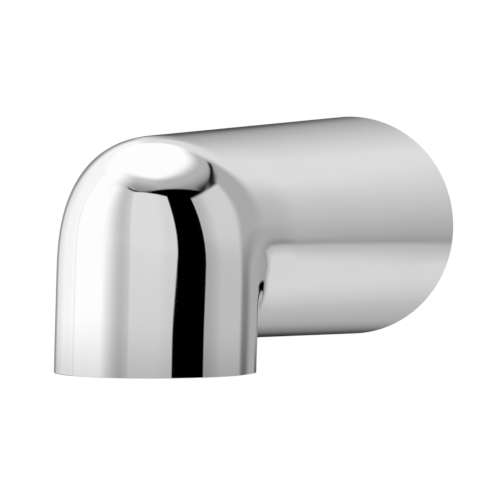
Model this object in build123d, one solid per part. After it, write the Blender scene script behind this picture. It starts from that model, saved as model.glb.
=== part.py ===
from build123d import *
import os
from math import asin, atan, cos, hypot, pi, radians, sin, sqrt, tan

# A wall-mounted bath spout, in millimetres and degrees.
# Frame: the origin is the centre of the foot on the wall, +Y goes into the wall, +Z is up.
# The spout runs along -Y, turns through its elbow and drops to a level outlet.

# Outer form
wall_radius = 30.75  # foot on the wall
elbow_radius = 25.5  # taper where it crosses the axis of the drop
reach = 144.0  # wall to the axis of the drop, measured along the inlet axis
drop_radius = 25.0
drop_depth = 33.0  # inlet axis down to the outlet
drop_lean = 3.6  # the drop leans forward on its way down
nose_radius = 22.0  # outside of the elbow
throat_radius = 5.0  # inside of the elbow
rim_round = 0.4  # outer edges of the foot and the outlet
elbow_sections = 17
width_ease = 1.5  # how soon the elbow narrows from the taper to the drop

# Casting inside
body_wall = 3.0
sleeve_wall = 4.0
sleeve_mouth = 9.0  # depth of the sleeve's rear end from the wall
bulkhead_wall = 9.0
casting_round = 2.0
water_radius = 8.0  # passage through the bulkhead
boss_wall = 3.5  # metal round the grub screw
outlet_recess = 4.6  # depth of the outlet floor above the rim
floor_wall = 4.0
outlet_boss_wall = 3.0
outlet_boss_height = 6.0
outlet_lip_wall = 2.0  # shoulder over the aerator seal

# Inlet nipple, half-inch pipe thread
pipe_thread_radius = 10.478
pipe_thread_length = 14.0
thread_chamfer = 1.0
collar_flats = 24.0
collar_length = 6.0
spigot_radius = 10.0
spigot_end = 50.0  # depth of the spigot's front end from the wall
nipple_bore = 6.2
sleeve_clearance = 0.15
spigot_end_gap = 3.0

# Sealing rings on the spigot
ring_rear_depth = 32.0
ring_pitch = 9.0
ring_groove_depth = 2.0
ring_groove_width = 2.8
ring_clearance = 0.02

# Grub screw
screw_radius = 3.0
screw_length = 16.0
screw_depth = 18.0  # its axis, from the wall
screw_clearance = 0.05
screw_groove_depth = 1.0
screw_groove_play = 0.5
screw_tip_chamfer = 0.8
socket_flats = 3.0
socket_depth = 3.5

# Wall seal
foot_lip = 1.4
seal_width = 3.2
seal_thickness = 2.5
seal_clearance = 0.05

# Aerator, M28 thread
aerator_thread_radius = 13.9
aerator_clearance = 0.1
aerator_flange_width = 1.7
aerator_flange_height = 1.8
aerator_lip_width = 1.1
aerator_lip_height = 0.8
aerator_wall = 2.2
aerator_seal_height = 1.6
insert_clearance = 0.1
insert_rim = 0.9
key_notches = 4
key_notch_width = 2.4
key_notch_depth = 1.0
straightener_height = 3.4
cell_pitch = 2.9
cell_web = 0.45
jet_plate_height = 1.4
jet_radius = 0.6
jet_ring_radius = 7.2
jet_count = 16
strainer_skin = 0.8
strainer_dome = 1.6
strainer_hole_radius = 0.55
strainer_hole_rings = (2.6, 5.2)
strainer_ring_holes = 6

cut_margin = 1.0  # cutters run this far past the faces that they cut

os.makedirs("parts", exist_ok=True)

# Side view of the elbow: every section stands in a plane through one level line under the throat
taper_slope = (wall_radius - elbow_radius) / reach
lean_slope = tan(radians(drop_lean))
drop_half = drop_radius / cos(radians(drop_lean))  # half the drop's level section, front to back


def taper_radius(y):
    return wall_radius + taper_slope * y


def pivot_point():
    # The line that the sections share, one throat radius below the taper and behind the drop
    from_axis = drop_half + throat_radius - lean_slope * (elbow_radius + throat_radius)
    y = from_axis / (1 + taper_slope * lean_slope) - reach
    return y, -taper_radius(y) - throat_radius


def nose_centre():
    # The centre of the arc that touches the top of the taper and the front of the drop
    to_top = nose_radius * hypot(1, taper_slope)
    to_front = nose_radius * hypot(1, lean_slope)
    from_axis = to_front - drop_half + lean_slope * (elbow_radius - to_top)
    y = from_axis / (1 - taper_slope * lean_slope) - reach
    return y, taper_radius(y) - to_top


pivot_y, pivot_z = pivot_point()
nose_y, nose_z = nose_centre()
outlet_y = -reach - drop_depth * lean_slope


def outer_distance(fan, inset):
    # From the pivot to the outside of the elbow: the top line, the nose arc or the front line
    top = (taper_radius(pivot_y) - inset - pivot_z) / (cos(fan) + taper_slope * sin(fan))
    front_run = pivot_y + reach - pivot_z * lean_slope + drop_half - inset
    front = front_run / (sin(fan) + lean_slope * cos(fan))
    along = (nose_z - pivot_z) * cos(fan) - (nose_y - pivot_y) * sin(fan)
    beside = (pivot_z - nose_z) * sin(fan) - (nose_y - pivot_y) * cos(fan)
    arc_radius = nose_radius - inset
    if abs(beside) < arc_radius:
        turn = fan - asin(beside / arc_radius)
        if atan(taper_slope) < turn < pi / 2 - atan(lean_slope):
            return along + sqrt(arc_radius**2 - beside**2)
    return min(top, front)


def elbow_section(fan, inset):
    # An ellipse in the plane that leans by the fan angle, 0 upright and a quarter turn level
    outer = outer_distance(fan, inset)
    inner = throat_radius + inset
    middle = (outer + inner) / 2
    centre_y = pivot_y - middle * sin(fan)
    drop_y = -reach + pivot_z * lean_slope
    share = max(0.0, (centre_y - drop_y) / (pivot_y - drop_y))
    width = drop_radius + (taper_radius(pivot_y) - drop_radius) * share**width_ease - inset
    plane = Plane(
        origin=(0, centre_y, pivot_z + middle * cos(fan)),
        x_dir=(0, -sin(fan), cos(fan)),
        z_dir=(0, -cos(fan), -sin(fan)),
    )
    height = max((outer - inner) / 2, width)  # an elbow is never flatter than it is wide
    starts = range(0, 360, 90)
    quarters = [EllipticalCenterArc((0, 0), height, width, start, arc_size=90) for start in starts]
    return plane * make_face(quarters)


def level_slab(low, high, back=pivot_y):
    # A block across the drop between two heights
    depth = back + reach + 2 * drop_half
    block = Box(4 * wall_radius, depth, high - low, align=(Align.CENTER, Align.MAX, Align.MIN))
    return Pos(0, back, low) * block


def skin(inset, back, foot):
    # The whole form drawn in by one wall: taper, elbow and drop, from the wall side to a level end
    taper_length = back - pivot_y
    taper = Plane.XZ.offset(-back) * Pos(0, 0, taper_length / 2) * Cone(
        taper_radius(back) - inset, taper_radius(pivot_y) - inset, taper_length
    )
    fans = [pi / 2 * i / (elbow_sections - 1) for i in range(elbow_sections)]
    elbow = loft([elbow_section(fan, inset) for fan in fans])
    drop = extrude(elbow_section(pi / 2, inset), amount=drop_depth, dir=(0, -lean_slope, -1))
    return taper + elbow + drop - level_slab(foot - 4 * drop_depth, foot, back=0)


def rod(radius, start, end):
    # A round bar on the inlet axis between two depths from the wall
    return Plane.XZ.offset(start) * extrude(Circle(radius), amount=end - start)


def ring(outer, inner, start, end):
    # A square-edged ring on the inlet axis between two depths from the wall
    return rod(outer, start, end) - rod(inner, start, end)


def post(radius, low, high, y=outlet_y):
    # A round upright bar between two heights
    return Pos(0, y, low) * extrude(Circle(radius), amount=high - low)


# Fits that several pieces share
sleeve_bore = spigot_radius + sleeve_clearance
sleeve_radius = sleeve_bore + sleeve_wall
sleeve_floor = spigot_end + spigot_end_gap
ring_front_depth = ring_rear_depth + ring_pitch
bulkhead_front = spigot_end + bulkhead_wall
screw_bore = screw_radius + screw_clearance
screw_tip = -(spigot_radius - screw_groove_depth)
seal_outer = wall_radius - foot_lip - seal_clearance
outlet_z = -drop_depth
floor_under = outlet_z + outlet_recess
floor_top = floor_under + floor_wall
boss_top = floor_top + outlet_boss_height
seal_top = boss_top - outlet_lip_wall
housing_top = seal_top - aerator_seal_height
housing_foot = floor_under - aerator_flange_height
aerator_bore = aerator_thread_radius + aerator_clearance
housing_bore = aerator_thread_radius - aerator_wall
aerator_lip_radius = housing_bore - aerator_lip_width
aerator_flange_radius = aerator_thread_radius + aerator_flange_width
insert_radius = housing_bore - insert_clearance
insert_foot = housing_foot + aerator_lip_height
straightener_top = insert_foot + straightener_height
jet_plate_top = straightener_top + jet_plate_height


def spout_body():
    outer = skin(0, 0, outlet_z)
    ends = outer.faces().filter_by(GeomType.PLANE)
    outer = fillet(ends.edges(), rim_round)

    core = skin(body_wall, cut_margin, outlet_z - cut_margin)
    core -= rod(2 * wall_radius, spigot_end, bulkhead_front)
    core -= rod(sleeve_radius, sleeve_mouth, spigot_end)
    root = core.edges().filter_by(GeomType.CIRCLE).filter_by(
        lambda edge: abs(edge.radius - sleeve_radius) < cut_margin
    )
    core = fillet(root.sort_by(Axis.Y)[0], casting_round)
    core -= post(screw_bore + boss_wall, -wall_radius, 0, y=-screw_depth)
    core -= level_slab(floor_under, floor_top)
    core -= post(aerator_bore + outlet_boss_wall, floor_under, boss_top)

    body = outer - core
    body -= rod(sleeve_bore, 0, sleeve_floor)
    body -= rod(water_radius, 0, bulkhead_front + cut_margin)
    body -= post(screw_bore, -wall_radius - cut_margin, 0, y=-screw_depth)
    body -= post(aerator_bore, outlet_z, seal_top)
    body -= post(housing_bore, outlet_z, boss_top + cut_margin)
    body -= rod(seal_outer + seal_clearance, -cut_margin, seal_thickness)
    return body


def inlet_nipple():
    thread = rod(pipe_thread_radius, -pipe_thread_length, 0)
    thread = chamfer(thread.edges().sort_by(Axis.Y)[-1], thread_chamfer)
    collar = Plane.XZ * extrude(RegularPolygon(collar_flats / 2, 6, False), amount=collar_length)
    spigot = rod(spigot_radius, collar_length, spigot_end)
    spigot = chamfer(spigot.edges().sort_by(Axis.Y)[0], thread_chamfer)
    nipple = thread + collar + spigot
    groove_edge = spigot_radius + cut_margin
    for depth in (ring_rear_depth, ring_front_depth):
        start = depth - ring_groove_width / 2
        floor_radius = spigot_radius - ring_groove_depth
        nipple -= ring(groove_edge, floor_radius, start, start + ring_groove_width)
    half_groove = screw_radius + screw_groove_play
    nipple -= ring(groove_edge, -screw_tip, screw_depth - half_groove, screw_depth + half_groove)
    return nipple - rod(nipple_bore, -pipe_thread_length, spigot_end)


def inlet_oring(depth):
    # Squeezed between the floor of its groove and the sleeve
    floor_radius = spigot_radius - ring_groove_depth + ring_clearance
    squeezed = sleeve_bore - ring_clearance - floor_radius
    section = Pos(floor_radius + squeezed / 2, -depth) * Circle(squeezed / 2)
    return revolve(section, Axis.Y)


def grub_screw():
    foot = screw_tip - screw_length
    screw = post(screw_radius, foot, screw_tip, y=-screw_depth)
    screw = chamfer(screw.edges().sort_by(Axis.Z)[-1], screw_tip_chamfer)
    socket = extrude(RegularPolygon(socket_flats / 2, 6, False), amount=socket_depth)
    return screw - Pos(0, -screw_depth, foot) * socket


def wall_seal():
    return ring(seal_outer, seal_outer - seal_width, 0, seal_thickness)


def aerator_housing():
    housing = post(aerator_thread_radius, floor_under, housing_top)
    housing += post(aerator_flange_radius, housing_foot, floor_under)
    housing -= post(housing_bore, insert_foot, housing_top)
    housing -= post(aerator_lip_radius, housing_foot, insert_foot)
    notch = Box(aerator_flange_radius, key_notch_width, 2 * key_notch_depth)
    notch = Pos(housing_bore + aerator_flange_radius / 2, 0, 0) * notch
    for i in range(key_notches):
        turn = Rot(0, 0, 360 * (i + 0.5) / key_notches)
        housing -= Pos(0, outlet_y, housing_foot) * turn * notch
    return housing


def aerator_seal():
    washer = post(aerator_thread_radius, housing_top, seal_top)
    return washer - post(aerator_lip_radius, housing_top, seal_top)


def round_holes(radius, low, high, ring_radius, count):
    # A ring of upright holes about the outlet's centre, with one in the middle
    holes = post(radius, low, high)
    for i in range(count):
        turn = 2 * pi * i / count
        spot = Pos(ring_radius * cos(turn), ring_radius * sin(turn), 0)
        holes += spot * post(radius, low, high)
    return holes


def aerator_strainer():
    # A low dome over a ring that stands on the jet plate
    shoulder = housing_top - insert_clearance
    rim = post(insert_radius, jet_plate_top, shoulder)
    rim -= post(insert_radius - insert_rim, jet_plate_top, shoulder - strainer_skin)
    dome_radius = aerator_lip_radius - 2 * insert_rim
    cap = post(dome_radius, shoulder, shoulder + strainer_dome)
    cap = fillet(cap.edges().sort_by(Axis.Z)[-1], strainer_dome - insert_clearance)
    hollow = post(dome_radius - strainer_skin, jet_plate_top, shoulder + strainer_dome - strainer_skin)
    strainer = rim + cap - hollow
    high = shoulder + strainer_dome + cut_margin
    for ring_radius in strainer_hole_rings:
        strainer -= round_holes(strainer_hole_radius, shoulder, high, ring_radius, strainer_ring_holes)
    return strainer


def aerator_jet_plate():
    plate = post(insert_radius, straightener_top, jet_plate_top)
    return plate - round_holes(jet_radius, straightener_top, jet_plate_top, jet_ring_radius, jet_count)


def flow_straightener():
    # A honeycomb: every hexagon that lies whole inside the rim is cut through
    disc = post(insert_radius, insert_foot, straightener_top)
    cell_flats = cell_pitch - cell_web
    cell = extrude(RegularPolygon(cell_flats / 2, 6, False), amount=straightener_height)
    row_step = cell_pitch * sqrt(3) / 2
    reach_cells = int(insert_radius / row_step) + 1
    open_radius = aerator_lip_radius - cell_flats / sqrt(3)
    cells = []
    for row in range(-reach_cells, reach_cells + 1):
        for column in range(-reach_cells, reach_cells + 1):
            x = (column + (row % 2) / 2) * cell_pitch
            y = row * row_step
            if hypot(x, y) < open_radius:
                cells.append(Pos(x, outlet_y + y, insert_foot) * Rot(0, 0, 30) * cell)
    return disc - cells


pieces = {
    "spout_body": spout_body(),
    "inlet_nipple": inlet_nipple(),
    "inlet_oring_rear": inlet_oring(ring_rear_depth),
    "inlet_oring_front": inlet_oring(ring_front_depth),
    "grub_screw": grub_screw(),
    "wall_seal": wall_seal(),
    "aerator_housing": aerator_housing(),
    "aerator_seal": aerator_seal(),
    "aerator_strainer": aerator_strainer(),
    "aerator_jet_plate": aerator_jet_plate(),
    "flow_straightener": flow_straightener(),
}
for name, piece in pieces.items():
    export_step(piece, f"parts/{name}.step")
    print(name, round(piece.volume, 1))
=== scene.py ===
from math import asin, atan, atan2, cos, hypot, pi, radians, sin, sqrt, tan

import bmesh
import bpy
from mathutils import Matrix, Vector


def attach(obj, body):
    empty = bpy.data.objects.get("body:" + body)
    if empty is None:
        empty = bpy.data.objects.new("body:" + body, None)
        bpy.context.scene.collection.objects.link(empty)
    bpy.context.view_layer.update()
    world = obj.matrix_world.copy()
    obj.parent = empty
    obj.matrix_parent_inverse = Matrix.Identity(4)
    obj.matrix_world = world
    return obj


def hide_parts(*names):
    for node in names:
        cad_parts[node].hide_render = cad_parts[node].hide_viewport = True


# A chromed wall-mounted bath spout. Sizes are millimetres and degrees, Blender works in metres.
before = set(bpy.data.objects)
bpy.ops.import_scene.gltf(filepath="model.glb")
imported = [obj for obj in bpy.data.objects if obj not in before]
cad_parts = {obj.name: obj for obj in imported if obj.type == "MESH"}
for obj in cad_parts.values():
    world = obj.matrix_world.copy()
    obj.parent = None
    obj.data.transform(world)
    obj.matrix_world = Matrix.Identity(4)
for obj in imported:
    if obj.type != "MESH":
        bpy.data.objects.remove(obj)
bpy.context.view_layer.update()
mm = 0.001
print("frame loaded,", len(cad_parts), "nodes")


# Mesh helpers

def evenSteps(start, end, count):
    return [start + (end - start) * i / count for i in range(count + 1)]


def evenTurns(count):
    return [2 * pi * i / count for i in range(count)]


def valueAt(value, turn):
    return value(turn) if callable(value) else value


def axisRing(radius, y, turns):
    # a ring round the inlet axis, its first point on top
    return [(valueAt(radius, t) * sin(t), y, valueAt(radius, t) * cos(t)) for t in turns]


def uprightRing(radius, z, turns, y):
    # a ring round an upright axis, its first point at the front
    return [(valueAt(radius, t) * sin(t), y - valueAt(radius, t) * cos(t), valueAt(z, t)) for t in turns]


def blendRing(a, b, share):
    return [tuple(p + (q - p) * share for p, q in zip(one, two)) for one, two in zip(a, b)]


def gridFaces(ringCount, around, closed):
    # quads between neighbouring rings, keyed by ring and column
    bands = ringCount if closed else ringCount - 1
    faces = {}
    for i in range(bands):
        for j in range(around):
            k = (j + 1) % around
            n = (i + 1) % ringCount
            faces[i, j] = (i * around + j, i * around + k, n * around + k, n * around + j)
    return faces


def makePiece(name, node, slot, points, faces, materials, finishes=None, crease=32):
    # one mesh that rides on the body and stands for its CAD node
    mesh = bpy.data.meshes.new(name)
    mesh.from_pydata([[c * mm for c in p] for p in points], [], faces)
    for material in materials:
        mesh.materials.append(material)
    if finishes:
        mesh.polygons.foreach_set("material_index", finishes)
    work = bmesh.new()
    work.from_mesh(mesh)
    bmesh.ops.recalc_face_normals(work, faces=work.faces)
    for face in work.faces:
        face.smooth = True
    for edge in work.edges:
        if len(edge.link_faces) == 2 and edge.calc_face_angle() > radians(crease):
            edge.smooth = False
    work.to_mesh(mesh)
    work.free()
    piece = bpy.data.objects.new(name, mesh)
    bpy.context.scene.collection.objects.link(piece)
    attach(piece, "root")
    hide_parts(node)
    print(name, len(mesh.polygons), "faces")
    return piece


def makeRings(name, node, slot, rings, materials, closed=True, **options):
    # rings in a row, closed on themselves or ended by flat caps
    around = len(rings[0])
    points = [p for ring in rings for p in ring]
    faces = list(gridFaces(len(rings), around, closed).values())
    if not closed:
        faces.append(tuple(range(around)))
        faces.append(tuple(range(len(points) - around, len(points))))
    return makePiece(name, node, slot, points, faces, materials, **options)


def hexRadius(flats):
    return lambda turn: flats / 2 / cos((turn + pi / 6) % (pi / 3) - pi / 6)


def threadRadius(crest, depth, pitch, place, fade=1.0):
    # a single-start thread: its radius at each turn, for one place along the axis
    flat = 0.12  # share of the pitch that is flat, at the crest and at the root

    def radius(turn):
        wave = abs(2 * ((place / pitch - turn / (2 * pi)) % 1) - 1)
        return crest - depth * fade * min(1, max(0, (wave - flat) / (1 - 2 * flat)))
    return radius


# Materials

def newGroup(name, inputs, outputs):
    group = bpy.data.node_groups.new(name, "ShaderNodeTree")
    for label, value in inputs.items():
        socket = group.interface.new_socket(name=label, in_out="INPUT", socket_type="NodeSocketFloat")
        socket.default_value = value
    for label in outputs:
        group.interface.new_socket(name=label, in_out="OUTPUT", socket_type="NodeSocketFloat")
    return group, group.nodes.new("NodeGroupInput"), group.nodes.new("NodeGroupOutput")


def addNode(tree, kind, settings=None, **inputs):
    # a node with its settings; an input goes by name or as i and its number, and is a socket or a value
    node = tree.nodes.new(kind)
    for label, value in (settings or {}).items():
        setattr(node, label, value)
    for label, value in inputs.items():
        socket = node.inputs[int(label[1:])] if label[1:].isdigit() else node.inputs[label.replace("_", " ")]
        if isinstance(value, bpy.types.NodeSocket):
            tree.links.new(value, socket)
        else:
            socket.default_value = value
    return node


def rangeOf(tree, value, low, high, lowTo, highTo, kind="SMOOTHSTEP"):
    node = addNode(tree, "ShaderNodeMapRange", {"interpolation_type": kind}, Value=value,
                   From_Min=low, From_Max=high, To_Min=lowTo, To_Max=highTo)
    return node.outputs["Result"]


def mathOf(tree, operation, a, b=0.0):
    return addNode(tree, "ShaderNodeMath", {"operation": operation}, i0=a, i1=b).outputs[0]


def lengthOf(tree, vector):
    return addNode(tree, "ShaderNodeVectorMath", {"operation": "LENGTH"}, i0=vector).outputs["Value"]


def polishGroup():
    # faint wipe marks and a slow cloud over a polished surface
    inputs = {"Clean": 0.02, "Wiped": 0.06, "Scale": 60.0}
    group, given, made = newGroup("polishMarks", inputs, ["Roughness", "Cloud"])
    place = addNode(group, "ShaderNodeTexCoord").outputs["Object"]
    cloud = addNode(group, "ShaderNodeTexNoise", Vector=place, Scale=given.outputs["Scale"], Detail=3.0)
    stretched = addNode(group, "ShaderNodeMapping", Vector=place, Scale=(1.0, 0.06, 1.0))
    hair = addNode(group, "ShaderNodeTexNoise", Vector=stretched.outputs[0], Scale=2600.0, Detail=2.0)
    wipe = mathOf(group, "MULTIPLY", cloud.outputs["Fac"], hair.outputs["Fac"])
    low, high = 0.2, 0.5  # most of the two noises' product lies between these
    rough = rangeOf(group, wipe, low, high, given.outputs["Clean"], given.outputs["Wiped"])
    group.links.new(rough, made.inputs["Roughness"])
    group.links.new(cloud.outputs["Fac"], made.inputs["Cloud"])
    return group


def grainGroup():
    # a pitted grain at two sizes, for cast metal, rubber and moulded plastic
    group, given, made = newGroup("mouldGrain", {"Scale": 900.0, "Pits": 0.5}, ["Height", "Patch"])
    place = addNode(group, "ShaderNodeTexCoord").outputs["Object"]
    fine = addNode(group, "ShaderNodeTexNoise", Vector=place, Scale=given.outputs["Scale"], Detail=6.0)
    coarser = 0.18  # pits are this much wider apart than the grain
    coarse = mathOf(group, "MULTIPLY", given.outputs["Scale"], coarser)
    pits = addNode(group, "ShaderNodeTexVoronoi", Vector=place, Scale=coarse)
    dents = mathOf(group, "MULTIPLY", pits.outputs["Distance"], given.outputs["Pits"])
    patch = addNode(group, "ShaderNodeTexNoise", Vector=place, Scale=70.0, Detail=3.0)
    group.links.new(mathOf(group, "ADD", fine.outputs["Fac"], dents), made.inputs["Height"])
    group.links.new(patch.outputs["Fac"], made.inputs["Patch"])
    return group


def turnedGroup():
    # tool marks that run round a turned piece, with a soft change of tone from line to line
    group, given, made = newGroup("turnedLines", {"Lines": 3000.0, "Upright": 0.0}, ["Height", "Tone"])
    place = addNode(group, "ShaderNodeTexCoord").outputs["Object"]
    parts = addNode(group, "ShaderNodeSeparateXYZ", Vector=place)
    level, upright = parts.outputs["Y"], parts.outputs["Z"]
    along = addNode(group, "ShaderNodeMix", i0=given.outputs["Upright"], i2=level, i3=upright)
    line = mathOf(group, "MULTIPLY", along.outputs[0], given.outputs["Lines"])
    marks = addNode(group, "ShaderNodeTexNoise", {"noise_dimensions": "1D"}, W=line, Scale=1.0, Detail=2.0)
    tone = addNode(group, "ShaderNodeTexNoise", Vector=place, Scale=120.0, Detail=4.0)
    group.links.new(marks.outputs["Fac"], made.inputs["Height"])
    group.links.new(tone.outputs["Fac"], made.inputs["Tone"])
    return group


polishMarks, mouldGrain, turnedLines = polishGroup(), grainGroup(), turnedGroup()


def newMaterial(name, metallic, roughness):
    material = bpy.data.materials.new(name)
    material.use_nodes = True
    shader = material.node_tree.nodes["Principled BSDF"]
    shader.inputs["Metallic"].default_value = metallic
    shader.inputs["Roughness"].default_value = roughness
    return material, material.node_tree, shader


def placeGroup(tree, group, **inputs):
    node = addNode(tree, "ShaderNodeGroup", {"node_tree": group}, **inputs)
    return node.outputs


def colourFrom(tree, shader, mask, dark, light):
    mix = addNode(tree, "ShaderNodeMix", {"data_type": "RGBA"}, i0=mask)
    mix.inputs[6].default_value = (*dark, 1)
    mix.inputs[7].default_value = (*light, 1)
    tree.links.new(mix.outputs[2], shader.inputs["Base Color"])


def roughFrom(tree, shader, mask, smooth, dull):
    low, high = 0.3, 0.7  # most of a noise lies between these
    tree.links.new(rangeOf(tree, mask, low, high, smooth, dull), shader.inputs["Roughness"])


def bumpFrom(tree, shader, height, strength, distance):
    bump = addNode(tree, "ShaderNodeBump", Height=height, Strength=strength, Distance=distance)
    tree.links.new(bump.outputs[0], shader.inputs["Normal"])


def chromeMaterial():
    # mirror plate: nearly even, with a breath of wiping in its gloss
    look = {
        "dark": (0.85, 0.85, 0.85), "light": (0.89, 0.89, 0.89),
        "clean": 0.025, "wiped": 0.05, "cloud": 45.0,
    }
    material, tree, shader = newMaterial("polishedChrome", 1.0, look["clean"])
    marks = placeGroup(tree, polishMarks, Clean=look["clean"], Wiped=look["wiped"], Scale=look["cloud"])
    tree.links.new(marks["Roughness"], shader.inputs["Roughness"])
    colourFrom(tree, shader, marks["Cloud"], look["dark"], look["light"])
    return material


def castMaterial():
    # the unpolished inside of the casting, dull and sandy
    look = {
        "dark": (0.36, 0.29, 0.17), "light": (0.58, 0.48, 0.29), "rough": 0.5, "smooth": 0.42, "dull": 0.62,
        "scale": 1500.0, "pits": 0.7, "bump": 0.5, "depth": 0.0004,
    }
    material, tree, shader = newMaterial("castBrass", 1.0, look["rough"])
    grain = placeGroup(tree, mouldGrain, Scale=look["scale"], Pits=look["pits"])
    colourFrom(tree, shader, grain["Patch"], look["dark"], look["light"])
    roughFrom(tree, shader, grain["Patch"], look["smooth"], look["dull"])
    bumpFrom(tree, shader, grain["Height"], look["bump"], look["depth"])
    return material


def turnedMaterial(name, dark, light, lines, upright, rough):
    # bar stock with the tool's lines left on it
    look = {"smooth": 0.8, "dull": 1.3, "bump": 0.25, "depth": 0.0001}
    material, tree, shader = newMaterial(name, 1.0, rough)
    turned = placeGroup(tree, turnedLines, Lines=lines, Upright=upright)
    colourFrom(tree, shader, turned["Tone"], dark, light)
    roughFrom(tree, shader, turned["Tone"], rough * look["smooth"], rough * look["dull"])
    bumpFrom(tree, shader, turned["Height"], look["bump"], look["depth"])
    return material


def mouldedMaterial(name, dark, light, scale, pits, rough, bump):
    # rubber or plastic straight from its mould
    look = {"smooth": 0.85, "dull": 1.15, "depth": 0.0002}
    material, tree, shader = newMaterial(name, 0.0, rough)
    grain = placeGroup(tree, mouldGrain, Scale=scale, Pits=pits)
    colourFrom(tree, shader, grain["Patch"], dark, light)
    roughFrom(tree, shader, grain["Patch"], rough * look["smooth"], rough * look["dull"])
    bumpFrom(tree, shader, grain["Height"], bump, look["depth"])
    return material


chrome = chromeMaterial()
castBrass = castMaterial()
turnedBrass = turnedMaterial(
    "turnedBrass", dark=(0.66, 0.49, 0.23), light=(0.82, 0.66, 0.36), lines=4200.0, upright=0.0, rough=0.24)
screwSteel = turnedMaterial(
    "screwSteel", dark=(0.38, 0.38, 0.40), light=(0.52, 0.52, 0.54), lines=5200.0, upright=1.0, rough=0.3)
sealRubber = mouldedMaterial(
    "sealRubber", dark=(0.018, 0.018, 0.018), light=(0.042, 0.042, 0.042),
    scale=2600.0, pits=0.3, rough=0.62, bump=0.25)
jetPlastic = mouldedMaterial(
    "jetPlastic", dark=(0.76, 0.77, 0.77), light=(0.86, 0.87, 0.87),
    scale=3200.0, pits=0.2, rough=0.38, bump=0.12)
print("materials ready")


# Spout body: taper, elbow and drop with the cored inside, in one closed run of rings

spout = {
    "wallRadius": 30.75, "elbowRadius": 25.5, "reach": 144.0,
    "dropRadius": 25.0, "dropDepth": 33.0, "dropLean": 3.6,
    "noseRadius": 22.0, "throatRadius": 5.0, "holdRow": 0.05,
    "skinNose": 20.5, "skinEase": 10.0, "skinInset": 0.03,
    "rimRound": 0.4, "lipRound": 0.12, "innerEdge": 0.15, "wall": 3.0,
    "recess": 4.6, "floorWall": 4.0, "bossHeight": 6.0, "bossWall": 3.0, "lipWall": 2.0,
    "spigotEnd": 50.0, "sleeveBore": 10.15, "sleeveRadius": 14.15, "sleeveMouth": 9.0, "sleeveFloor": 53.0,
    "bulkheadFront": 59.0, "waterRadius": 8.0, "castingRound": 2.0,
    "sealRadius": 29.35, "sealDepth": 2.5,
    "screwPlace": 18.0, "screwBore": 3.05, "screwBoss": 6.55,
    "around": 160, "rowSpacing": 2.6, "elbowRows": 96, "rimRows": 5, "recessRows": 6, "boreRows": 4,
    "chamberRows": 40, "rootRows": 5, "floorShares": (0.35, 0.7, 1.0),
    # round the screw hole: half length and rows of each patch, its columns, and rings in to the hole
    "wallPatch": (8.4, 24), "sleevePatch": (7.8, 12), "borePatch": (4.8, 12),
    "wallColumns": 16, "sleeveColumns": 28, "patchRings": 5,
}
chromed, cast = 0, 1  # the body's two finishes
aerator = {
    "bore": 14.0, "threadRadius": 13.9, "housingBore": 11.7, "lipRadius": 10.6, "flangeRadius": 15.6,
    "flangeHeight": 1.8, "lipHeight": 0.8, "sealHeight": 1.6, "threadPitch": 1.0, "threadDepth": 0.5,
    "notches": 4, "notchWidth": 2.4, "notchDepth": 1.0, "notchStep": 0.01, "edge": 0.15,
    "around": 144, "rowsPerPitch": 10,
    "insertRadius": 11.6, "insertHeight": 3.4, "cellPitch": 2.9, "cellWeb": 0.45, "cellEdge": 0.1,
    "insertAround": 120,
}
taperSlope = (spout["wallRadius"] - spout["elbowRadius"]) / spout["reach"]
leanSlope = tan(radians(spout["dropLean"]))
dropHalf = spout["dropRadius"] / cos(radians(spout["dropLean"]))  # half the drop's level section
outletY = -spout["reach"] - spout["dropDepth"] * leanSlope
outletZ = -spout["dropDepth"]
floorUnder = outletZ + spout["recess"]
floorTop = floorUnder + spout["floorWall"]
bossTop = floorTop + spout["bossHeight"]
sealTop = bossTop - spout["lipWall"]


def taperRadius(y):
    return spout["wallRadius"] + taperSlope * y


def pivotPoint():
    # the level line under the throat that all the elbow's sections share
    throat = spout["throatRadius"]
    fromAxis = dropHalf + throat - leanSlope * (spout["elbowRadius"] + throat)
    y = fromAxis / (1 + taperSlope * leanSlope) - spout["reach"]
    return y, -taperRadius(y) - throat


def noseCentre(radius):
    # the arc that touches the top of the taper and the front of the drop
    toTop = radius * hypot(1, taperSlope)
    toFront = radius * hypot(1, leanSlope)
    fromAxis = toFront - dropHalf + leanSlope * (spout["elbowRadius"] - toTop)
    y = fromAxis / (1 - taperSlope * leanSlope) - spout["reach"]
    return y, taperRadius(y) - toTop


pivotY, pivotZ = pivotPoint()


def outerDistance(fan, inset, noseRadius):
    # from the pivot line out to the top of the taper, the nose arc or the front of the drop
    noseY, noseZ = noseCentre(noseRadius)
    top = (taperRadius(pivotY) - inset - pivotZ) / (cos(fan) + taperSlope * sin(fan))
    frontRun = pivotY + spout["reach"] - pivotZ * leanSlope + dropHalf - inset
    front = frontRun / (sin(fan) + leanSlope * cos(fan))
    along = (noseZ - pivotZ) * cos(fan) - (noseY - pivotY) * sin(fan)
    beside = (pivotZ - noseZ) * sin(fan) - (noseY - pivotY) * cos(fan)
    arc = noseRadius - inset
    if abs(beside) < arc:
        turn = fan - asin(beside / arc)
        if atan(taperSlope) < turn < pi / 2 - atan(leanSlope):
            return along + sqrt(arc**2 - beside**2)
    return min(top, front)


def polishedDistance(fan, inset):
    # the same line after polishing: its curvature changes gently, and straight stretches stay straight
    reach = radians(spout["skinEase"]) * sin(2 * fan)
    side = 6  # the last tap on each side would weigh nothing
    taps = [i / side for i in range(1 - side, side)]
    weights = [1 + cos(pi * tap) for tap in taps]
    ahead = sum(w * cos(reach * tap) for w, tap in zip(weights, taps))
    lines = [outerDistance(fan + reach * tap, inset, spout["skinNose"]) for tap in taps]
    return ahead / sum(w / line for w, line in zip(weights, lines))


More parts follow.
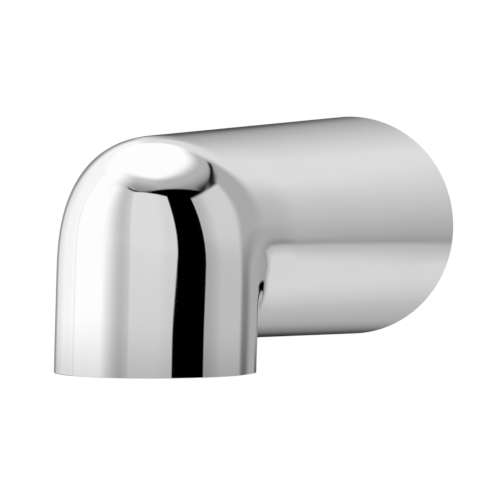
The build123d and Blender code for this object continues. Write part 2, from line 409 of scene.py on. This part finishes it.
def elbowPoint(fan, turn, inset, polished=False):
    # a point of the ellipse that stands in the plane leaning by the fan angle
    outer = polishedDistance(fan, inset) if polished else outerDistance(fan, inset, spout["noseRadius"])
    ease = sin(fan) * cos(fan) * (taperSlope * cos(fan) ** 2 - leanSlope * sin(fan) ** 2)
    inner = spout["throatRadius"] * (1 + ease) + inset  # the throat leaves the taper and the drop in line
    middle = (outer + inner) / 2
    centreY = pivotY - middle * sin(fan)
    dropY = -spout["reach"] + pivotZ * leanSlope
    share = max(0.0, (centreY - dropY) / (pivotY - dropY))
    spread = taperRadius(pivotY) - spout["dropRadius"]
    flare = taperSlope * (pivotY - dropY) / spread  # the sides leave the taper at the taper's own slope
    spread *= share**2 * (3 - flare + (flare - 2) * share)
    along = (outer - inner) / 2 * cos(turn)
    across = (spout["dropRadius"] + spread - inset) * sin(turn)
    return across, centreY - along * sin(fan), pivotZ + (middle * cos(fan) + along * cos(fan))


def levelFan(z, turn, inset):
    # the fan angle at which this turn of the elbow comes down to a level
    low, high = 0.0, pi / 2
    halvings = 40
    for _ in range(halvings):
        fan = (low + high) / 2
        if elbowPoint(fan, turn, inset)[2] > z:
            low = fan
        else:
            high = fan
    return high


def levelRing(z, inset, turns):
    if z <= pivotZ:
        shift = leanSlope * (pivotZ - z)
        ring = [elbowPoint(pi / 2, t, inset) for t in turns]
        return [(x, y - shift, z) for x, y, _ in ring]
    return [elbowPoint(levelFan(z, t, inset), t, inset) for t in turns]


def rowPlaces(start, end, patch=None):
    # places along the inlet axis, with an even run of rows across the screw hole
    if patch is None:
        count = max(1, round(abs(end - start) / spout["rowSpacing"]))
        return evenSteps(start, end, count)
    half, count = patch
    side = half if end > start else -half
    first, last = -spout["screwPlace"] - side, -spout["screwPlace"] + side
    return rowPlaces(start, first)[:-1] + evenSteps(first, last, count) + rowPlaces(last, end)[1:]


def bodyRings(turns):
    # the rings in order, the finish of the band that starts at each, and where the screw hole's patches start
    rings, finishes, patches = [], [], {}
    wall, edge, skin = spout["wall"], spout["innerEdge"], spout["skinInset"]
    rim, lip = spout["rimRound"], spout["lipRound"]
    skinRadius = lambda y: taperRadius(y) - skin
    insideRadius = lambda y: taperRadius(y) - wall

    def add(points, finish):
        rings.append(points)
        finishes.append(finish)

    def addRows(name, radiusAt, places, finish, patchStart):
        nearest = min(places, key=lambda y: abs(y - patchStart))
        patches[name] = len(rings) + places.index(nearest), radiusAt
        for y in places:
            add(axisRing(radiusAt(y), y, turns), finish)

    hole = -spout["screwPlace"]
    wallPatch, sleevePatch, borePatch = spout["wallPatch"], spout["sleevePatch"], spout["borePatch"]

    # outside, from the foot to the outlet
    for turn in evenSteps(0, pi / 2, spout["rimRows"])[:-1]:
        add(axisRing(skinRadius(-rim) - rim + rim * sin(turn), -rim + rim * cos(turn), turns), chromed)
    add(axisRing(skinRadius(-rim), -rim, turns), chromed)
    skinPlaces = rowPlaces(-rim - spout["holdRow"], pivotY, wallPatch)[:-1]
    addRows("skin", skinRadius, skinPlaces, chromed, hole + wallPatch[0])
    for fan in evenSteps(0, pi / 2, spout["elbowRows"]):
        add([elbowPoint(fan, t, skin, True) for t in turns], chromed)
    add(levelRing(outletZ + lip + spout["holdRow"], skin, turns), chromed)
    for turn in evenSteps(0, pi / 2, spout["rimRows"]):
        add(levelRing(outletZ + lip - lip * sin(turn), skin + lip - lip * cos(turn), turns), chromed)
    add(levelRing(outletZ, wall - edge, turns), chromed)
    for z in evenSteps(outletZ + edge, floorUnder, spout["recessRows"]):
        add(levelRing(z, wall, turns), chromed)

    # the outlet's floor, the aerator's hole and its boss
    bore = uprightRing(aerator["bore"], floorUnder, turns, outletY)
    for share in spout["floorShares"]:
        add(blendRing(levelRing(floorUnder, wall, turns), bore, share), chromed)
    for z in evenSteps(floorUnder, sealTop, spout["boreRows"])[1:]:
        add(uprightRing(aerator["bore"], z, turns, outletY), cast)
    way, boss = aerator["housingBore"], aerator["bore"] + spout["bossWall"]
    for radius, z in ((way, sealTop), (way, bossTop), (boss, bossTop), (boss, floorTop)):
        add(uprightRing(radius, z, turns, outletY), cast)

    # the water chamber, back to the bulkhead
    fans = [levelFan(floorTop, t, wall) for t in turns]
    for share in evenSteps(1, 0, spout["chamberRows"]):
        add([elbowPoint(fan * share, t, wall) for fan, t in zip(fans, turns)], cast)
    for y in rowPlaces(pivotY, -spout["bulkheadFront"])[1:]:
        add(axisRing(insideRadius(y), y, turns), cast)
    for depth in (spout["bulkheadFront"], spout["sleeveFloor"]):
        add(axisRing(spout["waterRadius"], -depth, turns), cast)

    # the sleeve, inside and out
    borePlaces = rowPlaces(-spout["sleeveFloor"], -spout["sleeveMouth"], borePatch)
    addRows("bore", lambda y: spout["sleeveBore"], borePlaces, cast, hole - borePatch[0])
    root = spout["castingRound"]
    sleevePlaces = rowPlaces(-spout["sleeveMouth"], -spout["spigotEnd"] + root, sleevePatch)
    addRows("sleeve", lambda y: spout["sleeveRadius"], sleevePlaces, cast, hole + sleevePatch[0])
    for turn in evenSteps(0, pi / 2, spout["rootRows"])[1:]:
        radius = spout["sleeveRadius"] + root - root * cos(turn)
        add(axisRing(radius, -spout["spigotEnd"] + root - root * sin(turn), turns), cast)

    # the foot's hollow, back to the seat of the wall seal
    wallPlaces = rowPlaces(-spout["spigotEnd"], -spout["sealDepth"], wallPatch)
    addRows("inside", insideRadius, wallPlaces, cast, hole - wallPatch[0])
    for depth in (spout["sealDepth"], 0.0):
        add(axisRing(spout["sealRadius"], -depth, turns), chromed)
    return rings, finishes, patches


def openPatch(points, faces, extra, finish, patch, columns, rows, holeRadius):
    # takes out a patch of quads under the axis and closes it up to a round, upright hole
    row, radiusAt = patch
    around, place = spout["around"], -spout["screwPlace"]
    first = around // 2 - columns // 2
    for i in range(row, row + rows):
        for j in range(first, first + columns):
            del faces[i, j]
    edge = [(i, j) for i in range(row, row + rows + 1) for j in range(first, first + columns + 1)
            if i in (row, row + rows) or j in (first, first + columns)]
    loop = [i * around + j for i, j in edge]
    loop.sort(key=lambda v: atan2(round(points[v][0], 9), points[v][1] - place))
    count = len(loop)
    steps = spout["patchRings"]
    start = [points[v] for v in loop]
    for step in range(1, steps + 1):
        share = step / steps
        ring = []
        for k, (x, y, _) in enumerate(start):
            turn = -pi + 2 * pi * (k + 1) / count
            px = x + (holeRadius * sin(turn) - x) * share
            py = y + (place + holeRadius * cos(turn) - y) * share
            points.append((px, py, -sqrt(radiusAt(py) ** 2 - px**2)))
            ring.append(len(points) - 1)
        joinLoops(loop, ring, extra, finish)
        loop = ring
    return loop


def joinLoops(a, b, extra, finish):
    for k in range(len(a)):
        n = (k + 1) % len(a)
        extra.append(((a[k], a[n], b[n], b[k]), finish))


def makeBody():
    turns = evenTurns(spout["around"])
    rings, finishes, patches = bodyRings(turns)
    points = [p for ring in rings for p in ring]
    faces = gridFaces(len(rings), spout["around"], True)
    extra = []
    hole, boss = spout["screwBore"], spout["screwBoss"]
    onWall = spout["wallColumns"], spout["wallPatch"][1]
    onSleeve = spout["sleeveColumns"], spout["sleevePatch"][1]
    inBore = spout["sleeveColumns"], spout["borePatch"][1]
    skinHole = openPatch(points, faces, extra, chromed, patches["skin"], *onWall, hole)
    wallHole = openPatch(points, faces, extra, cast, patches["inside"], *onWall, boss)
    sleeveHole = openPatch(points, faces, extra, cast, patches["sleeve"], *onSleeve, boss)
    boreHole = openPatch(points, faces, extra, cast, patches["bore"], *inBore, hole)
    joinLoops(skinHole, boreHole, extra, cast)
    joinLoops(wallHole, sleeveHole, extra, cast)
    indices = [finishes[i] for i, _ in faces] + [finish for _, finish in extra]
    quads = list(faces.values()) + [face for face, _ in extra]
    return makePiece("spoutBody", "spout_body", "chrome", points, quads, [chrome, castBrass], indices)


makeBody()


# Inlet nipple: half-inch pipe thread, hexagon collar and a spigot with grooves

nipple = {
    "threadRadius": 10.478, "threadDepth": 1.16, "threadPitch": 1.814, "threadLength": 14.0, "chamfer": 1.0,
    "flats": 24.0, "collar": 6.0, "cornerRadius": 12.7, "spigotRadius": 10.0, "spigotEnd": 50.0, "bore": 6.2,
    "boreEdge": 0.5, "cornerSteps": (0.0, 0.35, 0.75),
    "grooves": ((32.0, 1.4, 2.0), (41.0, 1.4, 2.0), (18.0, 3.5, 1.0)),  # place, half width, depth
    "around": 120, "rowsPerPitch": 12,
}


def nippleRings():
    turns = evenTurns(nipple["around"])
    crest, depth, pitch = nipple["threadRadius"], nipple["threadDepth"], nipple["threadPitch"]
    bore, edge, length = nipple["bore"], nipple["boreEdge"], nipple["threadLength"]
    rings = [axisRing(bore, length - edge, turns), axisRing(bore + edge, length, turns)]

    # thread, from its chamfered end to the run-out at the collar
    rows = round(length / pitch * nipple["rowsPerPitch"])
    for y in evenSteps(length, 0, rows):
        fade = min(1.0, y / pitch)
        limit = crest - max(0.0, nipple["chamfer"] - (length - y))
        cut = threadRadius(crest, depth, pitch, y, fade)
        rings.append(axisRing(lambda t, cut=cut, limit=limit: min(cut(t), limit), y, turns))

    # collar, with the corners of both faces turned off
    hexagon = hexRadius(nipple["flats"])
    steps = nipple["cornerSteps"]
    places = [(back, -back) for back in steps]
    places += [(back, back - nipple["collar"]) for back in reversed(steps)]
    for back, y in places:
        limit = nipple["cornerRadius"] + back * sqrt(3)
        rings.append(axisRing(lambda t, limit=limit: min(hexagon(t), limit), y, turns))

    # spigot and its grooves, then back through the bore
    spigot, end = nipple["spigotRadius"], nipple["spigotEnd"]
    profile = [(spigot, nipple["collar"])]
    for place, half, cut in sorted(nipple["grooves"]):
        profile += [(spigot, place - half), (spigot - cut, place - half)]
        profile += [(spigot - cut, place + half), (spigot, place + half)]
    profile += [(spigot, end - nipple["chamfer"]), (spigot - nipple["chamfer"], end)]
    profile += [(bore + edge, end), (bore, end - edge)]
    rings += [axisRing(radius, -place, turns) for radius, place in profile]
    return rings


makeRings("inletNipple", "inlet_nipple", "brass", nippleRings(), [turnedBrass], crease=25)


# Grub screw: M6, hexagon socket at the foot and a chamfered point

screw = {
    "radius": 3.0, "threadDepth": 0.55, "pitch": 1.0, "tip": -9.0, "length": 16.0, "tipChamfer": 0.8,
    "footChamfer": 0.4, "flats": 3.0, "socketDepth": 3.5, "socketEdge": 0.15,
    "around": 96, "rowsPerPitch": 12,
}


def screwRings():
    turns = evenTurns(screw["around"])
    place, radius, edge = -spout["screwPlace"], screw["radius"], screw["socketEdge"]
    foot = screw["tip"] - screw["length"]
    hexagon = hexRadius(screw["flats"])
    wide = lambda t: hexagon(t) + edge
    rings = [uprightRing(hexagon, foot + screw["socketDepth"], turns, place)]
    rings.append(uprightRing(hexagon, foot + edge, turns, place))
    rings.append(uprightRing(wide, foot, turns, place))
    rows = round(screw["length"] / screw["pitch"] * screw["rowsPerPitch"])
    for z in evenSteps(foot, screw["tip"], rows):
        atFoot = radius - max(0.0, screw["footChamfer"] - (z - foot))
        atTip = radius - max(0.0, screw["tipChamfer"] - (screw["tip"] - z))
        cut = threadRadius(radius, screw["threadDepth"], screw["pitch"], z)
        limit = min(atFoot, atTip)
        rings.append(uprightRing(lambda t, cut=cut, limit=limit: min(cut(t), limit), z, turns, place))
    return rings


makeRings("grubScrew", "grub_screw", "steel", screwRings(), [screwSteel], closed=False, crease=25)


# Rubber: the wall seal with its two lips, and the rings on the spigot

wallSeal = {
    "outer": 29.3, "inner": 26.1, "thickness": 2.5, "round": 0.45, "groove": 0.35, "grooveHalf": 0.8,
    "around": 160, "cornerRows": 5, "grooveRows": 8,
}
sealingRing = {
    "middle": 9.075, "thick": 2.11, "width": 2.11, "places": (32.0, 41.0), "around": 120, "section": 32,
}


def sealRings():
    turns = evenTurns(wallSeal["around"])
    outer, inner, deep = wallSeal["outer"], wallSeal["inner"], wallSeal["thickness"]
    corner = wallSeal["round"]
    rings = []
    corners = ((outer, -corner, 90, 0), (inner, -corner, 180, 90), (inner, corner - deep, 270, 180),
               (outer, corner - deep, 360, 270))
    for number, (radius, y, start, end) in enumerate(corners):
        centre = radius - corner if radius == outer else radius + corner
        for turn in evenSteps(radians(end), radians(start), wallSeal["cornerRows"]):
            rings.append(axisRing(centre + corner * cos(turn), y + corner * sin(turn), turns))
        if number == 0:
            middle = (outer + inner) / 2
            for share in evenSteps(-1, 1, wallSeal["grooveRows"]):
                dip = wallSeal["groove"] * (0.5 + 0.5 * cos(share * pi))
                rings.append(axisRing(middle - share * wallSeal["grooveHalf"], -dip, turns))
    return rings


def sealingRings(place):
    turns = evenTurns(sealingRing["around"])
    rings = []
    for turn in evenTurns(sealingRing["section"]):
        radius = sealingRing["middle"] + sealingRing["thick"] / 2 * cos(turn)
        rings.append(axisRing(radius, -place + sealingRing["width"] / 2 * sin(turn), turns))
    return rings


makeRings("wallSeal", "wall_seal", "rubber", sealRings(), [sealRubber])
for node, place in zip(("inlet_oring_rear", "inlet_oring_front"), sealingRing["places"]):
    makeRings("sealingRing" + node.split("_")[-1].title(), node, "rubber", sealingRings(place), [sealRubber])


# Aerator: the screwed housing and the honeycomb that shows in the outlet

housingFoot = floorUnder - aerator["flangeHeight"]
housingTop = sealTop - aerator["sealHeight"]
insertFoot = housingFoot + aerator["lipHeight"]


def notchMiddles():
    return [2 * pi * (i + 0.5) / aerator["notches"] for i in range(aerator["notches"])]


def notchTurns():
    # even turns with a close pair at each side of each key notch
    half = asin(aerator["notchWidth"] / 2 / aerator["flangeRadius"])
    hair = 0.0005
    turns = evenTurns(aerator["around"])
    for middle in notchMiddles():
        turns = [t for t in turns if abs(abs(t - middle) - half) > 4 * hair]
        turns += [middle - half - hair, middle - half + hair, middle + half - hair, middle + half + hair]
    return sorted(turns), half


def housingRings():
    turns, half = notchTurns()
    edge, lip, wide = aerator["edge"], aerator["lipRadius"], aerator["flangeRadius"]
    bore, pitch = aerator["housingBore"], aerator["threadPitch"]

    def notched(z):
        def level(turn):
            near = min(abs(turn - middle) for middle in notchMiddles())
            return max(z, housingFoot + aerator["notchDepth"]) if near < half else z
        return level

    ring = lambda radius, z: uprightRing(radius, z, turns, outletY)
    rings = [ring(bore, insertFoot), ring(lip, insertFoot), ring(lip, housingFoot + edge)]
    rings += [ring(lip + edge, housingFoot), ring(bore, housingFoot)]
    rings.append(ring(bore + aerator["notchStep"], notched(housingFoot)))
    rings.append(ring(wide - edge, notched(housingFoot)))
    rings += [ring(wide, notched(housingFoot + edge)), ring(wide, floorUnder - edge)]
    rings.append(ring(wide - edge, floorUnder))
    rows = round((housingTop - floorUnder) / pitch * aerator["rowsPerPitch"])
    for z in evenSteps(floorUnder, housingTop, rows):
        fade = min(1.0, (z - floorUnder) / pitch)
        cut = threadRadius(aerator["threadRadius"], aerator["threadDepth"], pitch, z, fade)
        rings.append(ring(cut, z))
    rings += [ring(bore + edge, housingTop), ring(bore, housingTop - edge)]
    return rings


def cellCentres():
    pitch = aerator["cellPitch"]
    rowStep = pitch * sqrt(3) / 2
    flats = pitch - aerator["cellWeb"]
    count = int(aerator["insertRadius"] / rowStep) + 1
    limit = aerator["lipRadius"] - flats / sqrt(3)
    span = range(-count, count + 1)
    spots = [((column + row % 2 / 2) * pitch, row * rowStep) for row in span for column in span]
    return [spot for spot in spots if hypot(*spot) < limit]


def makeHoneycomb():
    # two faces filled round the cells, and a wall with broken edges in each cell
    low, high, edge = insertFoot, insertFoot + aerator["insertHeight"], aerator["cellEdge"]
    flats = aerator["cellPitch"] - aerator["cellWeb"]
    work = bmesh.new()
    faceEdges = {low: [], high: []}

    def addLoop(points):
        return [work.verts.new((x * mm, y * mm, z * mm)) for x, y, z in points]

    def addWall(loops):
        for a, b in zip(loops, loops[1:]):
            for k in range(len(a)):
                n = (k + 1) % len(a)
                work.faces.new((a[k], a[n], b[n], b[k]))
        for z, loop in ((low, loops[0]), (high, loops[-1])):
            faceEdges[z] += [work.edges.get((loop[k], loop[(k + 1) % len(loop)])) for k in range(len(loop))]

    def cellLoop(x, y, z, grow):
        radius = (flats / 2 + grow) / cos(pi / 6)
        turns = [pi / 3 * k + pi / 6 for k in range(6)]
        return addLoop([(x + radius * cos(t), outletY + y + radius * sin(t), z) for t in turns])

    heights = ((low, edge), (low + edge, 0), (high - edge, 0), (high, edge))
    for x, y in cellCentres():
        addWall([cellLoop(x, y, z, grow) for z, grow in heights])
    turns = evenTurns(aerator["insertAround"])
    addWall([addLoop(uprightRing(aerator["insertRadius"] - grow, z, turns, outletY)) for z, grow in heights])
    for edges in faceEdges.values():
        bmesh.ops.triangle_fill(work, edges=edges, use_beauty=True)
    bmesh.ops.recalc_face_normals(work, faces=work.faces)
    work.verts.index_update()
    points = [[c / mm for c in v.co] for v in work.verts]
    faces = [[v.index for v in face.verts] for face in work.faces]
    work.free()
    materials = [jetPlastic]
    return makePiece("flowStraightener", "flow_straightener", "plastic", points, faces, materials, crease=20)


makeRings("aeratorHousing", "aerator_housing", "chrome", housingRings(), [chrome], crease=25)
makeHoneycomb()

# Pieces inside the aerator keep their CAD form
kept = {"aerator_seal": sealRubber, "aerator_strainer": jetPlastic, "aerator_jet_plate": jetPlastic}
for node, material in kept.items():
    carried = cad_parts[node]
    carried.data.materials.clear()
    carried.data.materials.append(material)
print("pieces ready")


# Camera at the photograph's angle

photo = {
    "pixels": 500, "focalPixels": 3741.0, "azimuth": 20.73, "elevation": 1.756,
    "axisPixel": (157.76, 237.74), "pixelsPerMm": 4.0476, "sensor": 36.0, "clip": (0.05, 50.0),
}


def addCamera():
    # the axis point over the outlet appears at axisPixel
    a, e = radians(photo["azimuth"]), radians(photo["elevation"])
    back = Vector((sin(a) * cos(e), -cos(a) * cos(e), sin(e)))
    right = Vector((cos(a), sin(a), 0))
    up = back.cross(right)
    middle = (photo["pixels"] - 1) / 2
    offRight = (photo["axisPixel"][0] - middle) / photo["pixelsPerMm"]
    offUp = (middle - photo["axisPixel"][1]) / photo["pixelsPerMm"]
    distance = photo["focalPixels"] / photo["pixelsPerMm"]
    place = Vector((0, -spout["reach"], 0)) - right * offRight - up * offUp + back * distance
    data = bpy.data.cameras.new("photoCamera")
    data.sensor_width = photo["sensor"]
    data.lens = photo["sensor"] * photo["focalPixels"] / photo["pixels"]
    data.clip_start, data.clip_end = photo["clip"]
    camera = bpy.data.objects.new("photoCamera", data)
    turn = Matrix((right, up, back)).transposed().to_4x4()
    camera.matrix_world = Matrix.Translation(place * mm) @ turn
    bpy.context.scene.collection.objects.link(camera)
    bpy.context.scene.camera = camera


addCamera()


# Studio: white room, pale floor, and a tent of light and dark panels that the chrome mirrors

studio = {
    "radius": 6.0, "segments": (64, 32), "white": 1.13, "wrap": -90.0, "tilt": 3.6,
    "lowest": -90, "archReach": 50.0, "footReach": 2.0,
    "floorDrop": 0.5, "floorRadius": 0.9, "floorSegments": 96, "floorSolid": 0.7,
    "floorColour": (0.80, 0.80, 0.80), "floorRough": 0.8,
}
# Panels are painted over one another in this order, by direction in degrees. Azimuth 0 is the camera's
# side and grows to its right.
# az, el: from and to. soft: width of the side edges, of the upper and lower edge, and of the right side
# where that differs. level: brightness. fade: along az or el, from, to, brightness at both ends, and even
# makes it a straight line. shade: darkens what lies under it. arch: bows the panel, by its middle and the
# drop at archReach from there. slope: azimuth and shift of the top edge where its slope starts and ends.
# lean: slants the left (0) or right (1) side, by degrees per degree, with a step below footReach.
panels = [
    {"name": "ringFront", "az": (-53, 62), "el": (32, 57.5), "soft": (50, 8, 44),
     "fade": ("el", 40, 54, 0.33, 0.60)},
    {"name": "ringRight", "az": (8, 157), "el": (31, 60.5), "soft": (40, 12, 20), "arch": (70, 3.8),
     "fade": ("el", 43.5, 51.5, 0.28, 0.50), "even": True},
    {"name": "tipShade", "az": (74, 122), "el": (-90, 43), "soft": (16, 6), "level": 0.1, "shade": True},
    {"name": "darkRoom", "az": (-16, 84), "el": (-90, 45.2), "soft": (14, 2.0), "arch": (36, 8.0),
     "level": 0.0},
    {"name": "rightTail", "az": (80, 140), "el": (41.7, 44.3), "soft": (8, 1.8), "arch": (126, 8.5),
     "fade": ("az", 90, 104, 0.14, 0.01)},
    {"name": "leftFade", "az": (-68, -30), "el": (-90, 39.5), "soft": (1.5, 5),
     "fade": ("az", -67, -40, 1.13, 0.60)},
    {"name": "leftLift", "az": (-36, -28), "el": (-90, 36), "soft": (6, 4), "level": 0.66},
    {"name": "leftTail", "az": (-42, -5), "el": (36.2, 38.2), "soft": (8, 1.8), "arch": (-24, -22),
     "fade": ("az", -27, -18, 0.02, 0.14)},
    {"name": "centreCard", "az": (-30.3, 24.7), "el": (-90, 37.3), "soft": (6, 1.4, 1.6), "arch": (-6, 6),
     "lean": (1, 0.14, 5.2), "fade": ("az", 0, 16, 0.82, 0.755)},
    {"name": "rightCard", "az": (58.9, 122), "el": (-90, 37.9), "soft": (1.6, 2.6), "arch": (92, 6),
     "lean": (0, 0.08, 1.9), "fade": ("el", 0, 14, 0.58, 0.70)},
    {"name": "rightGrade", "az": (50, 72), "el": (-90, 40), "soft": (2, 4, 24), "level": 0.74, "shade": True},
    {"name": "farRight", "az": (113.5, 156), "el": (-90, 40.4), "soft": (9, 4.4), "arch": (132, 8.5),
     "lean": (0, 0.13, 0), "fade": ("el", -0.5, 9, 0.20, 0.45), "even": True},
    {"name": "backRight", "az": (127.6, 190), "el": (-14, 46), "soft": (14, 8), "lean": (0, -0.45, -3),
     "fade": ("el", -2, 23, 0.40, 0.80), "even": True},
    {"name": "stepLine", "az": (130.5, 150), "el": (-1, 1.8), "soft": (3, 1.6),
     "slope": (135.8, -1.8, 141.6, -6.0), "level": 0.93, "shade": True},
    {"name": "lowBack", "az": (130.5, 188), "el": (-90, 0), "soft": (3, 1.6),
     "slope": (135.8, -1.8, 141.6, -6.0), "fade": ("el", -5.5, 0, 0.74, 0.53)},
    {"name": "leftWhite", "az": (190, 250), "el": (-3, 44), "soft": (8, 12, 20), "level": 1.04},
    {"name": "backLeft", "az": (198, 224), "el": (-90, 22), "soft": (14, 16, 16), "level": 0.90},
    {"name": "spot", "az": (154.5, 168), "el": (-4.6, -0.4), "soft": (3, 1.2), "level": 0.0},
    {"name": "footShade", "az": (148, 182.5), "el": (-90, 29), "soft": (6, 12), "shade": True,
     "fade": ("az", 155, 177, 1.0, 0.56), "even": True},
    {"name": "topEdge", "az": (177.5, 187), "el": (-90, 15), "soft": (6, 12), "level": 0.25, "shade": True},
    {"name": "lowEdge", "az": (174, 187), "el": (-90, -3), "soft": (12, 4), "level": 0.3, "shade": True},
    {"name": "lowShade", "az": (152, 245), "el": (-90, -4), "soft": (14, 6), "level": 0.80, "shade": True},
    {"name": "lowLeft", "az": (190, 250), "el": (-90, -4), "soft": (8, 6), "level": 0.45, "shade": True},
    {"name": "edgeShade", "az": (186, 205), "el": (-90, 24), "soft": (4, 20, 18),
     "level": 0.30, "shade": True},
    {"name": "seam", "az": (252.6, 254.4), "el": (-90, 44), "soft": (1.0, 4), "level": 0.93},
    {"name": "tableShade", "az": (-62, 30), "el": (-90, 1.4), "soft": (8, 2), "level": 0.91, "shade": True},
    {"name": "skirtRight", "az": (-130, 128), "el": (-90, -0.35), "soft": (8, 1.8),
     "level": 0.66, "shade": True},
    {"name": "skirtLeft", "az": (196, 300), "el": (-90, -0.35), "soft": (8, 1.8),
     "level": 0.66, "shade": True},
]


def bowedOf(tree, az, el, panel):
    # elevation as the panel sees it, after its arch or the slope of its top edge
    if "arch" in panel:
        middle, drop = panel["arch"]
        aside = mathOf(tree, "DIVIDE", mathOf(tree, "SUBTRACT", az, middle), studio["archReach"])
        return mathOf(tree, "ADD", el, mathOf(tree, "MULTIPLY", mathOf(tree, "POWER", aside, 2.0), drop))
    if "slope" in panel:
        start, startEdge, end, endEdge = panel["slope"]
        return mathOf(tree, "SUBTRACT", el, rangeOf(tree, az, start, end, startEdge, endEdge, "LINEAR"))
    return el


def panelMask(tree, az, el, bowed, panel):
    # how far the panel covers each direction
    softLeft, softEl, softRight = (*panel["soft"], panel["soft"][0])[:3]
    sides = [az, az]
    if "lean" in panel:
        side, perDegree, footStep = panel["lean"]
        foot = rangeOf(tree, el, 0.0, studio["footReach"], footStep, 0.0)
        slanted = mathOf(tree, "ADD", az, mathOf(tree, "MULTIPLY", el, perDegree))
        sides[side] = mathOf(tree, "ADD", slanted, foot)
    edges = [(sides[0], panel["az"][0], softLeft, 1.0), (sides[1], panel["az"][1], softRight, 0.0),
             (bowed, panel["el"][1], softEl, 0.0)]
    if panel["el"][0] > studio["lowest"]:
        edges.append((bowed, panel["el"][0], softEl, 1.0))
    mask = 1.0
    for value, edge, soft, beyond in edges:
        cover = rangeOf(tree, value, edge - soft / 2, edge + soft / 2, 1.0 - beyond, beyond)
        mask = mathOf(tree, "MULTIPLY", mask, cover)
    return mask


def tentMaterial():
    # the panels painted over one another by direction
    material = bpy.data.materials.new("studioTent")
    material.use_nodes = True
    tree = material.node_tree
    tree.nodes.clear()
    place = addNode(tree, "ShaderNodeTexCoord").outputs["Object"]
    parts = addNode(tree, "ShaderNodeSeparateXYZ", Vector=place)
    forward = mathOf(tree, "MULTIPLY", parts.outputs["Y"], -1.0)
    az = mathOf(tree, "MULTIPLY", mathOf(tree, "ARCTAN2", parts.outputs["X"], forward), 180 / pi)
    farLeft = mathOf(tree, "LESS_THAN", az, studio["wrap"])  # counted on past the back
    az = mathOf(tree, "ADD", az, mathOf(tree, "MULTIPLY", farLeft, 360.0))
    flat = addNode(tree, "ShaderNodeCombineXYZ", X=parts.outputs["X"], Y=parts.outputs["Y"])
    level = lengthOf(tree, flat.outputs[0])
    el = mathOf(tree, "MULTIPLY", mathOf(tree, "ARCTAN2", parts.outputs["Z"], level), 180 / pi)
    light = studio["white"]
    for panel in panels:
        bowed = bowedOf(tree, az, el, panel)
        if "fade" in panel:
            along, start, end, first, last = panel["fade"]
            kind = "LINEAR" if panel.get("even") else "SMOOTHSTEP"
            strength = rangeOf(tree, az if along == "az" else bowed, start, end, first, last, kind)
        else:
            strength = panel["level"]
        if panel.get("shade"):
            strength = mathOf(tree, "MULTIPLY", light, strength)
        mask = panelMask(tree, az, el, bowed, panel)
        painted = addNode(tree, "ShaderNodeMix", {"label": panel["name"]}, i0=mask, i2=light, i3=strength)
        light = painted.outputs[0]
    emission = addNode(tree, "ShaderNodeEmission", Strength=light)
    output = addNode(tree, "ShaderNodeOutputMaterial")
    tree.links.new(emission.outputs[0], output.inputs["Surface"])
    return material


def addTent():
    # a round tent centred on the elbow, seen in the chrome and never by the camera
    mesh = bpy.data.meshes.new("studioTent")
    work = bmesh.new()
    across, upright = studio["segments"]
    bmesh.ops.create_uvsphere(work, u_segments=across, v_segments=upright, radius=studio["radius"])
    work.to_mesh(mesh)
    work.free()
    mesh.materials.append(tentMaterial())
    tent = bpy.data.objects.new("studioTent", mesh)
    tent.location = (0, -spout["reach"] * mm, 0)
    tent.rotation_mode = "ZYX"
    tent.rotation_euler = (radians(-studio["tilt"]), 0, radians(photo["azimuth"]))
    tent.visible_camera = False
    bpy.context.scene.collection.objects.link(tent)


def addFloor():
    # a pale round floor that fades out towards its edge and is clear when seen from below
    radius, segments = studio["floorRadius"], studio["floorSegments"]
    mesh = bpy.data.meshes.new("paleFloor")
    work = bmesh.new()
    bmesh.ops.create_circle(work, cap_ends=True, cap_tris=True, segments=segments, radius=radius)
    work.to_mesh(mesh)
    work.free()
    material = bpy.data.materials.new("paleFloor")
    material.use_nodes = True
    tree = material.node_tree
    shader = tree.nodes["Principled BSDF"]
    shader.inputs["Roughness"].default_value = studio["floorRough"]
    shader.inputs["Base Color"].default_value = (*studio["floorColour"], 1)
    place = addNode(tree, "ShaderNodeTexCoord").outputs["Object"]
    fade = rangeOf(tree, lengthOf(tree, place), radius * studio["floorSolid"], radius, 1.0, 0.0)
    under = addNode(tree, "ShaderNodeNewGeometry").outputs["Backfacing"]
    above = mathOf(tree, "SUBTRACT", 1.0, under)
    tree.links.new(mathOf(tree, "MULTIPLY", fade, above), shader.inputs["Alpha"])
    mesh.materials.append(material)
    floor = bpy.data.objects.new("paleFloor", mesh)
    floor.location = (0, -spout["reach"] / 2 * mm, -studio["floorDrop"])
    bpy.context.scene.collection.objects.link(floor)


def addWhiteRoom():
    world = bpy.data.worlds.new("whiteRoom")
    world.use_nodes = True
    world.node_tree.nodes["Background"].inputs["Color"].default_value = (1, 1, 1, 1)
    world.node_tree.nodes["Background"].inputs["Strength"].default_value = 1.0
    bpy.context.scene.world = world


addTent()
addFloor()
addWhiteRoom()
bpy.context.scene.view_settings.view_transform = "Standard"
print("studio ready")
